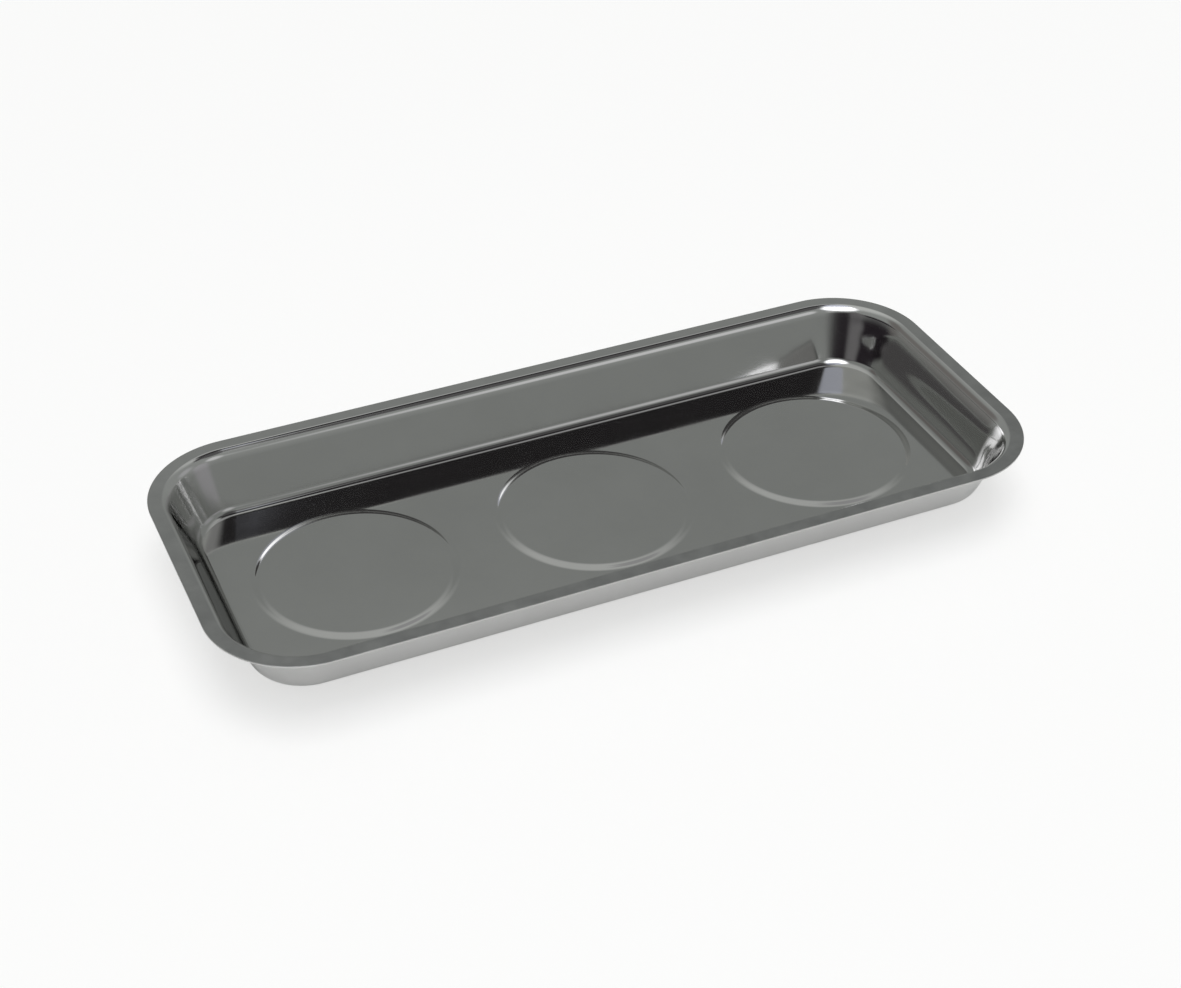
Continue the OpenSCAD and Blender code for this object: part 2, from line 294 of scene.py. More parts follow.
def turned_steel(pitch):
    """Free-cutting steel bar, turned and parted off."""
    # Fine rings from the tool's feed round each boss, slightly blued where the weld heated it.
    material, tree, place = new_material("turned_steel")
    bright, blued = linear("#b6b8ba"), linear("#8d8f9c")
    xyz = node(tree, "SeparateXYZ", {0: place})
    own_x = node(tree, "Math", {0: xyz.outputs["X"], 1: pitch / 2, 2: -pitch / 2}, operation="WRAP")
    plan = node(tree, "CombineXYZ", {"X": own_x.outputs[0], "Y": xyz.outputs["Y"]})
    radius = node(tree, "VectorMath", {0: plan.outputs[0]}, operation="LENGTH")
    feed = node(tree, "Math", {0: radius.outputs["Value"], 1: xyz.outputs["Z"]}, operation="ADD")
    turns = node(tree, "Math", {0: feed.outputs[0], 1: 2 * math.pi * per_mm(0.25)}, operation="MULTIPLY")
    rings = node(tree, "Math", {0: turns.outputs[0]}, operation="SINE")
    heat = node(tree, "TexNoise", {"Vector": place, "Scale": per_mm(6), "Detail": 2.0})
    warm = node(tree, "MapRange", {0: heat.outputs[0], 1: 0.45, 2: 0.7, 3: 0.0, 4: 0.6})
    colour = node(tree, "Mix", {0: warm.outputs[0], 6: bright, 7: blued}, data_type="RGBA")
    relief = node(tree, "Bump", {"Strength": 0.4, "Distance": 0.01 * MM, "Height": rings.outputs[0]})
    roughness = node(tree, "MapRange", {0: heat.outputs[0], 1: 0.3, 2: 0.7, 3: 0.26, 4: 0.4})
    finish_material(tree, {
        "Base Color": colour.outputs[2], "Metallic": 1.0, "Roughness": roughness.outputs[0],
        "Normal": relief.outputs[0]})
    return material


def sintered_ferrite():
    """Strontium ferrite, pressed, sintered and ground."""
    # Dull charcoal, speckled by its grains, with small chips and pores.
    material, tree, place = new_material("sintered_ferrite")
    charcoal, speckle = linear("#2c2c2f"), linear("#454549")
    grains = node(tree, "TexNoise", {"Vector": place, "Scale": per_mm(0.6), "Detail": 3.0})
    pores = node(tree, "TexVoronoi", {"Vector": place, "Scale": per_mm(2.5)})
    fleck = node(tree, "MapRange", {0: grains.outputs[0], 1: 0.4, 2: 0.7, 3: 0.0, 4: 1.0})
    colour = node(tree, "Mix", {0: fleck.outputs[0], 6: charcoal, 7: speckle}, data_type="RGBA")
    pit = node(tree, "MapRange", {0: pores.outputs["Distance"], 1: 0.0, 2: 0.18, 3: 0.0, 4: 1.0})
    relief = node(tree, "Bump", {"Strength": 0.5, "Distance": 0.06 * MM, "Height": pit.outputs[0]})
    roughness = node(tree, "MapRange", {0: grains.outputs[0], 1: 0.3, 2: 0.7, 3: 0.48, 4: 0.62})
    finish_material(tree, {
        "Base Color": colour.outputs[2], "Roughness": roughness.outputs[0], "IOR": 2.0,
        "Normal": relief.outputs[0]})
    return material


# Modelling


def clear_selection():
    """Deselects everything, so that the next operators act on the new piece alone."""
    if bpy.context.object and bpy.context.object.mode != "OBJECT":
        bpy.ops.object.mode_set(mode="OBJECT")
    bpy.ops.object.select_all(action="DESELECT")


def select_edges(obj, wanted):
    """In edit mode, selects the edges that the test accepts, and nothing else."""
    bpy.ops.mesh.select_mode(type="EDGE")
    bpy.ops.mesh.select_all(action="DESELECT")
    mesh = bmesh.from_edit_mesh(obj.data)
    for edge in mesh.edges:
        edge.select_set(wanted(edge))
    mesh.select_flush_mode()
    bmesh.update_edit_mesh(obj.data)


def select_faces(obj, wanted):
    """In edit mode, selects the faces that the test accepts, and nothing else."""
    bpy.ops.mesh.select_mode(type="FACE")
    bpy.ops.mesh.select_all(action="DESELECT")
    mesh = bmesh.from_edit_mesh(obj.data)
    for face in mesh.faces:
        face.select_set(wanted(face))
    bmesh.update_edit_mesh(obj.data)


def apply_modifier(obj, name, kind, **settings):
    """Adds a modifier to the active piece, sets it and applies it."""
    modifier = obj.modifiers.new(name, kind)
    for key, value in settings.items():
        setattr(modifier, key, value)
    bpy.ops.object.modifier_apply(modifier=modifier.name)


def hand_in(obj, material, slot, *nodes):
    """Gives a finished piece its material and its body, and hides the solids that it stands for. The slot is
    not used.
    """
    obj.data.materials.clear()
    obj.data.materials.append(material)
    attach(obj, "root")
    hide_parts(*nodes)


def shares(count):
    """Equal shares of a run, from its start to its end."""
    return [i / count for i in range(count + 1)]


def inset_along(section):
    """Insets the selected face once for each step of a section: inwards, and up or down."""
    for (inset_a, height_a), (inset_b, height_b) in zip(section, section[1:]):
        bpy.ops.mesh.inset(thickness=inset_b - inset_a, depth=height_b - height_a)


def rounded(corners, steps, closed=True):
    """A section with its corners rounded: each is how far out, how far up, and the radius that it gets."""
    points = []
    for i, (out, up, radius) in enumerate(corners):
        here = Vector((out, up))
        if not radius or not closed and i in (0, len(corners) - 1):
            points.append(here)
            continue
        before = (Vector(corners[i - 1][:2]) - here).normalized()
        after = (Vector(corners[(i + 1) % len(corners)][:2]) - here).normalized()
        half = before.angle(after) / 2
        centre = here + (before + after).normalized() * radius / math.sin(half)
        start = here + before * radius / math.tan(half) - centre
        end = here + after * radius / math.tan(half) - centre
        points += [centre + start.lerp(end, t).normalized() * radius for t in shares(steps)]
    return points


def turned(name, section, sides, closed=True):
    """A round piece: half of its section is drawn corner by corner beside the Z axis, and spun round it."""
    clear_selection()
    bpy.ops.mesh.primitive_plane_add(size=MM)
    piece = bpy.context.object
    piece.name = piece.data.name = name
    bpy.ops.object.mode_set(mode="EDIT")
    bpy.ops.mesh.select_mode(type="VERT")
    bpy.ops.mesh.select_all(action="SELECT")
    bpy.ops.mesh.merge(type="CENTER")
    bpy.ops.transform.translate(value=(section[0].x, 0, section[0].y))
    for a, b in zip(section, section[1:] + section[:closed]):
        bpy.ops.mesh.extrude_vertices_move(TRANSFORM_OT_translate={"value": (b.x - a.x, 0, b.y - a.y)})
    bpy.ops.mesh.select_all(action="SELECT")
    bpy.ops.mesh.remove_doubles(threshold=WELD)
    bpy.ops.mesh.spin(steps=sides, angle=2 * math.pi, center=(0, 0, 0), axis=(0, 0, 1))
    bpy.ops.mesh.select_all(action="SELECT")
    bpy.ops.mesh.remove_doubles(threshold=WELD)
    bpy.ops.mesh.normals_make_consistent(inside=False)
    bpy.ops.object.mode_set(mode="OBJECT")
    return piece


def at_stations(piece, pitch):
    """Copies a piece of the middle station to the left and right, and returns all three in order."""
    made = []
    for i in range(len(STATIONS)):
        copy = piece
        if i != MIDDLE:
            clear_selection()
            piece.select_set(True)
            bpy.context.view_layer.objects.active = piece
            bpy.ops.object.duplicate()
            copy = bpy.context.object
            copy.location.x = (i - MIDDLE) * pitch
            bpy.ops.object.transform_apply(location=True, rotation=True, scale=True)
        made.append(copy)
    return made


def joined(pieces, name):
    """Joins copies of a small piece to one group."""
    clear_selection()
    for piece in pieces:
        piece.select_set(True)
    group = bpy.context.view_layer.objects.active = pieces[0]
    bpy.ops.object.join()
    group.name = group.data.name = name
    return group


def bend(sizes, radius, turn, crease):
    """A bend from a flat face, as steps along it and away from it, which starts tighter than it goes on."""
    tight = sizes.crease_r
    fall = radius * (1 - math.cos(turn)) - tight * (1 - math.cos(crease))
    wide = fall / (math.cos(crease) - math.cos(turn))
    steps = [
        (tight * math.sin(crease * t), tight * (1 - math.cos(crease * t)))
        for t in shares(sizes.crease_steps)
    ]
    start = steps[-1]
    for t in shares(sizes.bend_steps)[1:]:
        a = crease + (turn - crease) * t
        steps.append((
            start[0] + wide * (math.sin(a) - math.sin(crease)),
            start[1] + wide * (math.cos(crease) - math.cos(a))))
    return steps


def wall_section(sizes, drop):
    """The tray's upper face from the flange's edge to the floor, as steps inwards and down."""
    lean, ease = sizes.wall_draft, sizes.support
    turn = math.pi / 2 - lean
    head_r = sizes.flange_bend_r
    head_bend = bend(sizes, head_r, turn, sizes.flange_crease)
    foot_bend = bend(sizes, sizes.floor_bend_r, turn, sizes.floor_crease)
    head = (sizes.flange_flat + head_r * math.sin(turn), -head_bend[-1][1])
    flat = head[0] - head_bend[-1][0]
    section = [(0, 0), (3 * sizes.edge_break, 0), (flat / 2, 0), (flat - ease, 0)]
    section += [(flat + run, -fall) for run, fall in head_bend]
    foot_height = foot_bend[-1][1] - drop
    fall = head[1] - foot_height
    run = fall * math.tan(lean)
    for t in [ease / fall] + shares(sizes.wall_steps)[1:-1] + [1 - ease / fall]:
        section.append((head[0] + run * t, head[1] - fall * t))
    floor_edge = head[0] + run + foot_bend[-1][0]
    section += [(floor_edge - along, rise - drop) for along, rise in reversed(foot_bend)]
    section.append((floor_edge + ease, -drop))
    return section


def pad_section(sizes):
    """A pad's upper face from just outside its step to its flat top, as steps inwards and up."""
    rise, run = sizes.pad_rise, sizes.pad_step
    turn = 2 * math.atan(rise / run)
    arc_r = run / 2 / math.sin(turn)
    ease = sizes.support
    section = [(0, 0)]
    for t in shares(sizes.bend_steps):
        section.append((ease + arc_r * math.sin(t * turn), arc_r * (1 - math.cos(t * turn))))
    for t in shares(sizes.bend_steps)[1:]:
        a = turn * (1 - t)
        section.append((ease + run - arc_r * math.sin(a), rise - arc_r * (1 - math.cos(a))))
    section.append((ease + run + ease, rise))
    return section


class TraySizes(bpy.types.PropertyGroup):
    """Sizes of the drawn tray that its solid's box doesn't give."""
    corner_r: FloatProperty(
        name="Corner radius", description="Radius of the flange's outer corners",
        default=38.5 * MM, unit="LENGTH")
    flange_flat: FloatProperty(
        name="Flange", description="Flat width of the flange, from its edge to the bend",
        default=4 * MM, unit="LENGTH")
    flange_bend_r: FloatProperty(
        name="Flange bend", description="Radius of the bend under the flange, on its upper face",
        default=4.8 * MM, unit="LENGTH")
    floor_bend_r: FloatProperty(
        name="Floor bend", description="Radius of the bend round the floor, on its inner face",
        default=4.5 * MM, unit="LENGTH")
    crease_r: FloatProperty(
        name="Crease", description="Radius at the start of both bends, where the sheet was pressed flat",
        default=1.2 * MM, unit="LENGTH")
    flange_crease: FloatProperty(
        name="Flange crease", description="Angle that the flange's bend turns through before it widens",
        default=math.radians(30), subtype="ANGLE", unit="ROTATION")
    floor_crease: FloatProperty(
        name="Floor crease", description="Angle that the floor's bend turns through before it widens",
        default=math.radians(22), subtype="ANGLE", unit="ROTATION")
    wall_draft: FloatProperty(
        name="Wall draft", description="Lean of the walls from upright",
        default=math.radians(23), subtype="ANGLE", unit="ROTATION")
    sheet: FloatProperty(
        name="Sheet", description="Thickness of the steel", default=0.7 * MM, unit="LENGTH")
    pad_pitch: FloatProperty(
        name="Pad spacing", description="Distance between the middles of two pads",
        default=104 * MM, unit="LENGTH")
    pad_flat_r: FloatProperty(
        name="Pad radius", description="Radius of a pad's flat top", default=37.9 * MM, unit="LENGTH")
    pad_rise: FloatProperty(
        name="Pad rise", description="Height of a pad over the floor", default=0.8 * MM, unit="LENGTH")
    pad_step: FloatProperty(
        name="Pad step", description="Radial width of the step round a pad",
        default=4.2 * MM, unit="LENGTH")
    support: FloatProperty(
        name="Support", description="Width of the narrow strip that keeps a flat face flat beside a bend",
        default=0.3 * MM, unit="LENGTH")
    edge_break: FloatProperty(
        name="Edge break", description="Width that is rubbed off the sheared edge",
        default=0.18 * MM, unit="LENGTH")
    crease_steps: IntProperty(
        name="Crease steps", description="Strips in the start of a bend", default=6, min=2)
    bend_steps: IntProperty(name="Bend steps", description="Strips in the rest of a bend", default=14, min=3)
    wall_steps: IntProperty(name="Wall steps", description="Strips across a wall", default=8, min=2)
    side_steps: IntProperty(name="Side steps", description="Strips along a side", default=32, min=2)
    corner_steps: IntProperty(name="Corner steps", description="Strips round a corner", default=28, min=6)
    pad_sides: IntProperty(name="Pad sides", description="Strips round a pad", default=160, min=24)


class StationSizes(bpy.types.PropertyGroup):
    """Sizes of the cover, washer and screw under each pad that their solids' boxes don't give."""
    cover_wall: FloatProperty(
        name="Cover wall", description="Thickness of the cover's side", default=2.3 * MM, unit="LENGTH")
    cover_floor: FloatProperty(
        name="Cover floor", description="Thickness of the cover's floor", default=1.6 * MM, unit="LENGTH")
    cover_edge_r: FloatProperty(
        name="Cover edge", description="Radius of the cover's lower outer edge",
        default=2.2 * MM, unit="LENGTH")
    cover_web: FloatProperty(
        name="Cover web", description="Thickness of the cover inside its dish",
        default=1.2 * MM, unit="LENGTH")
    dish_depth: FloatProperty(
        name="Dish depth", description="Depth of the dish that the screw sits in",
        default=4.2 * MM, unit="LENGTH")
    dish_foot_r: FloatProperty(
        name="Dish foot", description="Radius of the dish where it meets the cover's foot",
        default=13 * MM, unit="LENGTH")
    dish_head_r: FloatProperty(
        name="Dish head", description="Radius of the dish at its top", default=10.5 * MM, unit="LENGTH")
    groove: FloatProperty(
        name="Groove", description="Width of a grip groove in the cover's foot",
        default=1.4 * MM, unit="LENGTH")
    groove_depth: FloatProperty(
        name="Groove depth", description="Depth of a grip groove", default=0.4 * MM, unit="LENGTH")
    grooves: IntProperty(name="Grooves", description="Grip grooves in a cover's foot", default=3, min=0)
    screw_d: FloatProperty(
        name="Screw", description="Diameter of the screw's shank", default=5 * MM, unit="LENGTH")
    hole_gap: FloatProperty(
        name="Hole gap", description="Room round a screw in what it passes through",
        default=0.25 * MM, unit="LENGTH")
    head_h: FloatProperty(
        name="Head height", description="Height of the screw's domed head", default=2.4 * MM, unit="LENGTH")
    head_rim: FloatProperty(
        name="Head rim", description="Height of the upright edge of the head",
        default=0.6 * MM, unit="LENGTH")
    recess: FloatProperty(
        name="Recess", description="Length of the cross recess", default=5 * MM, unit="LENGTH")
    recess_w: FloatProperty(
        name="Recess width", description="Width of the recess's arms", default=1 * MM, unit="LENGTH")
    recess_depth: FloatProperty(
        name="Recess depth", description="Depth of the recess in the head", default=1.3 * MM, unit="LENGTH")
    sides: IntProperty(name="Sides", description="Strips round a cover", default=144, min=24)
    corner_steps: IntProperty(name="Corner steps", description="Strips in a rounded corner", default=5, min=2)


class Finishes(bpy.types.PropertyGroup):
    """Base colours of the finishes."""
    steel: FloatVectorProperty(
        name="Steel", description="Polished stainless steel", subtype="COLOR", size=3,
        default=linear("#cfcfcd")[:3], min=0, max=1)
    steel_haze: FloatVectorProperty(
        name="Steel haze", description="Stainless steel where it is handled", subtype="COLOR", size=3,
        default=linear("#c9c9c7")[:3], min=0, max=1)
    # Painted sheen: a brighter tone for the bend under the flange
    bend_sheen_tone: FloatVectorProperty(
        name="Burnished bend", description="Stainless steel that slid over the die", subtype="COLOR", size=3,
        default=linear("#e4e4e2")[:3], min=0, max=1)
    # Painted shade: the darker tone of the flange
    flange: FloatVectorProperty(
        name="Flange", description="Stainless steel that was clamped", subtype="COLOR", size=3,
        default=linear("#acacac")[:3], min=0, max=1)
    sheared_edge: FloatVectorProperty(
        name="Sheared edge", description="Cut edge of the stainless sheet", subtype="COLOR", size=3,
        default=linear("#c2c2c0")[:3], min=0, max=1)
    rubber: FloatVectorProperty(
        name="Rubber", description="Moulded rubber of the covers", subtype="COLOR", size=3,
        default=linear("#2b2b2c")[:3], min=0, max=1)
    rubber_bloom: FloatVectorProperty(
        name="Rubber bloom", description="Greyish bloom on the rubber", subtype="COLOR", size=3,
        default=linear("#3c3c40")[:3], min=0, max=1)
    floor: FloatVectorProperty(
        name="Floor", description="Floor that the tray stands on", subtype="COLOR", size=3,
        default=linear("#fcfcfb")[:3], min=0, max=1)


class TRAY_OT_drawn_tray(bpy.types.Operator):
    """Draws the tray from one flat blank, and raises a pad over each magnet"""
    bl_idname = "parts_tray.drawn_tray"
    bl_label = "Drawn tray"

    def execute(self, context):
        sizes = context.scene.parts_tray_sizes
        low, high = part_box("tray")
        drop = high.z - low.z - sizes.sheet
        floor_z = high.z - drop
        # The blank is a plate with round corners, whose sides are cut into strips
        clear_selection()
        bpy.ops.mesh.primitive_plane_add(size=1, location=(0, 0, high.z))
        tray = context.object
        tray.name = tray.data.name = "drawn_tray"
        tray.scale = (high.x - low.x, high.y - low.y, 1)
        bpy.ops.object.transform_apply(location=True, rotation=True, scale=True)
        bpy.ops.object.mode_set(mode="EDIT")
        bpy.ops.mesh.select_all(action="SELECT")
        bpy.ops.mesh.bevel(offset=sizes.corner_r, segments=sizes.corner_steps, affect="VERTICES")
        select_edges(tray, lambda edge: edge.calc_length() > sizes.corner_r)
        bpy.ops.mesh.subdivide(number_cuts=sizes.side_steps - 1)
        # It is drawn down along the wall's section, and each pad is raised along its own
        select_faces(tray, lambda face: True)
        inset_along(wall_section(sizes, drop))
        bpy.ops.mesh.delete(type="ONLY_FACE")
        for i in range(len(STATIONS)):
            bpy.ops.mesh.select_all(action="DESELECT")
            bpy.ops.mesh.primitive_circle_add(
                vertices=sizes.pad_sides, radius=sizes.pad_flat_r + sizes.pad_step + sizes.support,
                fill_type="NGON", location=((i - MIDDLE) * sizes.pad_pitch, 0, floor_z))
            bpy.ops.mesh.select_mode(type="FACE")
            inset_along(pad_section(sizes))
        # The floor fills the gap between the wall's foot and the pads
        level_within = 0.01 * MM
        select_edges(tray, lambda edge: edge.is_boundary and all(
            abs(v.co.z - floor_z) < level_within for v in edge.verts))
        bpy.ops.mesh.fill(use_beauty=True)
        select_faces(tray, lambda face: face.normal.z < 0)
        bpy.ops.mesh.flip_normals()
        bpy.ops.object.mode_set(mode="OBJECT")
        # The sheet gets its thickness downwards, and only its sheared edge is sharp enough to be broken
        edge_strips, sharp = 3, math.radians(60)
        apply_modifier(tray, "Sheet", "SOLIDIFY", thickness=sizes.sheet, offset=-1,
                       use_even_offset=True, use_quality_normals=True)
        apply_modifier(tray, "Broken edge", "BEVEL", width=sizes.edge_break, segments=edge_strips,
                       limit_method="ANGLE", angle_limit=sharp)
        bpy.ops.object.shade_smooth()
        finishes = context.scene.parts_tray_finishes
        hand_in(tray, polished_stainless(finishes, sizes), "stainless", "tray")
        return {"FINISHED"}


class TRAY_OT_rubber_covers(bpy.types.Operator):
    """Moulds a rubber cover for each magnet, dished for its screw and grooved for grip"""
    bl_idname = "parts_tray.rubber_covers"
    bl_label = "Rubber covers"

    def execute(self, context):
        sizes = context.scene.parts_tray_stations
        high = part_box("rubber_cover_centre")[1]
        outer = high.x
        inner = outer - sizes.cover_wall
        hole = sizes.screw_d / 2 + sizes.hole_gap
        web_top = sizes.cover_floor + sizes.dish_depth
        web_low = web_top - sizes.cover_web
        soft = 0.5 * MM
        corners = [
            (outer, 0, sizes.cover_edge_r),
            (outer, high.z, soft / 2),
            (inner, high.z, soft / 2),
            (inner, sizes.cover_floor, soft),
            (sizes.dish_foot_r + sizes.cover_web, sizes.cover_floor, soft),
            (sizes.dish_head_r + sizes.cover_web, web_top, soft),
            (hole, web_top, soft / 4),
            (hole, web_low, soft / 4),
            (sizes.dish_head_r, web_low, soft),
            (sizes.dish_foot_r, 0, 2 * soft),
        ]
        # Grip grooves stand at equal distances across the flat of the foot
        foot = outer - sizes.cover_edge_r - sizes.dish_foot_r
        half = sizes.groove / 2
        for share in shares(sizes.grooves + 1)[1:-1]:
            middle = sizes.dish_foot_r + foot * share
            corners += [
                (middle - half, 0, soft / 4),
                (middle - half / 2, sizes.groove_depth, soft / 4),
                (middle + half / 2, sizes.groove_depth, soft / 4),
                (middle + half, 0, soft / 4),
            ]
        cover = turned("rubber_cover", rounded(corners, sizes.corner_steps), sizes.sides)
        bpy.ops.object.shade_smooth_by_angle(angle=SMOOTH_BELOW)
        rubber = moulded_rubber(context.scene.parts_tray_finishes)
        pitch = context.scene.parts_tray_sizes.pad_pitch
        for station, piece in zip(STATIONS, at_stations(cover, pitch)):
            piece.name = piece.data.name = "moulded_cover_" + station
            hand_in(piece, rubber, "rubber", "rubber_cover_" + station)
        return {"FINISHED"}


class TRAY_OT_washers(bpy.types.Operator):
    """Stamps a washer for each screw"""
    bl_idname = "parts_tray.washers"
    bl_label = "Washers"

    def execute(self, context):
        sizes = context.scene.parts_tray_stations
        pitch = context.scene.parts_tray_sizes.pad_pitch
        low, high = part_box("washers")
        outer = high.x - pitch
        hole = sizes.screw_d / 2 + sizes.hole_gap
        # A stamped blank is rolled over on the face that the punch entered, and sharp on the other
        roll, burr = 0.35 * MM, 0.08 * MM
        corners = [
            (outer, low.z, roll), (outer, high.z, burr), (hole, high.z, burr), (hole, low.z, roll),
        ]
        washer = turned("washer", rounded(corners, sizes.corner_steps), sizes.sides // 2)
        bpy.ops.object.shade_smooth_by_angle(angle=SMOOTH_BELOW)
        group = joined(at_stations(washer, pitch), "stamped_washers")
        hand_in(group, zinc_plate("zinc_plated_washer", "#b7bdc3", "#c3c1b4"), "zinc_fastener", "washers")
        return {"FINISHED"}


class TRAY_OT_screws(bpy.types.Operator):
    """Heads a screw for each magnet, with a domed head and a cross recess"""
    bl_idname = "parts_tray.screws"
    bl_label = "Screws"

    def execute(self, context):
        sizes = context.scene.parts_tray_stations
        pitch = context.scene.parts_tray_sizes.pad_pitch
        low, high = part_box("screws")
        head_r = high.x - pitch
        seat = low.z + sizes.head_h
        shank = sizes.screw_d / 2
        dome = sizes.head_h - sizes.head_rim
        dome_r = (head_r ** 2 + dome ** 2) / 2 / dome
        sweep = math.asin(head_r / dome_r)
        soft, point = 0.2 * MM, 0.6 * MM
        dome_steps = 10
        corners = [
            (dome_r * math.sin(t * sweep), low.z + dome_r * (1 - math.cos(t * sweep)), 0)
            for t in shares(dome_steps)[:-1]
        ]
        corners += [
            (head_r, low.z + dome, soft), (head_r, seat, soft / 2), (shank, seat, soft),
            (shank, high.z - point, soft), (shank - point, high.z, 0), (0, high.z, 0),
        ]
        section = rounded(corners, sizes.corner_steps, closed=False)
        screw = turned("screw", section, sizes.sides // 2, closed=False)
        # The cross recess is cut by two crossed bars that taper inwards
        taper_share, smooth_below = 0.72, math.radians(35)
        for turn in (0, math.pi / 2):
            clear_selection()
            bpy.ops.mesh.primitive_cube_add(size=1, rotation=(0, 0, turn), location=(0, 0, low.z))
            cutter = context.object
            cutter.scale = (sizes.recess, sizes.recess_w, 2 * sizes.recess_depth)
            bpy.ops.object.transform_apply(location=True, rotation=True, scale=True)
            bpy.ops.object.mode_set(mode="EDIT")
            select_faces(cutter, lambda face: face.normal.z > 0.5)
            bpy.ops.transform.resize(value=(taper_share, taper_share, 1))
            bpy.ops.object.mode_set(mode="OBJECT")
            clear_selection()
            screw.select_set(True)
            context.view_layer.objects.active = screw
            apply_modifier(screw, "Recess", "BOOLEAN", operation="DIFFERENCE", object=cutter, solver="EXACT")
            bpy.data.objects.remove(cutter)
        bpy.ops.object.shade_smooth_by_angle(angle=smooth_below)
        group = joined(at_stations(screw, pitch), "headed_screws")
        hand_in(group, zinc_plate("zinc_plated_screw", "#bcc1c6", "#c6c3b6"), "zinc_fastener", "screws")
        return {"FINISHED"}


class TRAY_OT_inner_finishes(bpy.types.Operator):
    """Finishes the bosses, pole plates, magnets and retainers, which keep the shape of their solids"""
    bl_idname = "parts_tray.inner_finishes"
    bl_label = "Inner finishes"

    def execute(self, context):
        finishes = {
            "weld_bosses": turned_steel(context.scene.parts_tray_sizes.pad_pitch),
            "pole_plate": zinc_plate("zinc_plated_pole_steel", "#aeb3b8", "#bcb9ad"),
            "ring_magnet": sintered_ferrite(),
            "retainer": zinc_plate("zinc_plated_pressing", "#b2b8be", "#c0bdb0"),
        }
        for kind, material in finishes.items():
            for name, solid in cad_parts.items():
                if name.startswith(kind):
                    for slot in solid.material_slots:
                        slot.material = material
        return {"FINISHED"}


def toward(azimuth, height):
    """The direction at an azimuth, from the back towards the right, and at a height, both in degrees."""
    a, h = math.radians(azimuth), math.radians(height)
    return Vector((math.sin(a) * math.cos(h), math.cos(a) * math.cos(h), math.sin(h)))


def soft_patch(tree, way, azimuth, height, inner, outer, stretch):
    """How far a direction lies in a soft-edged patch of the surroundings, from 0 to 1."""
    flatten = Vector((1, 1, stretch))
    axis = (toward(azimuth, height) * flatten).normalized()
    flattened = node(tree, "VectorMath", {0: way, 1: flatten}, operation="MULTIPLY")
    unit = node(tree, "VectorMath", {0: flattened.outputs[0]}, operation="NORMALIZE")
    near = node(tree, "VectorMath", {0: unit.outputs[0], 1: axis}, operation="DOT_PRODUCT")
    edge = node(tree, "MapRange", {
        0: near.outputs["Value"], 1: math.cos(math.radians(outer)), 2: math.cos(math.radians(inner)),
        3: 0.0, 4: 1.0}, interpolation_type="SMOOTHSTEP")
    return edge.outputs[0]


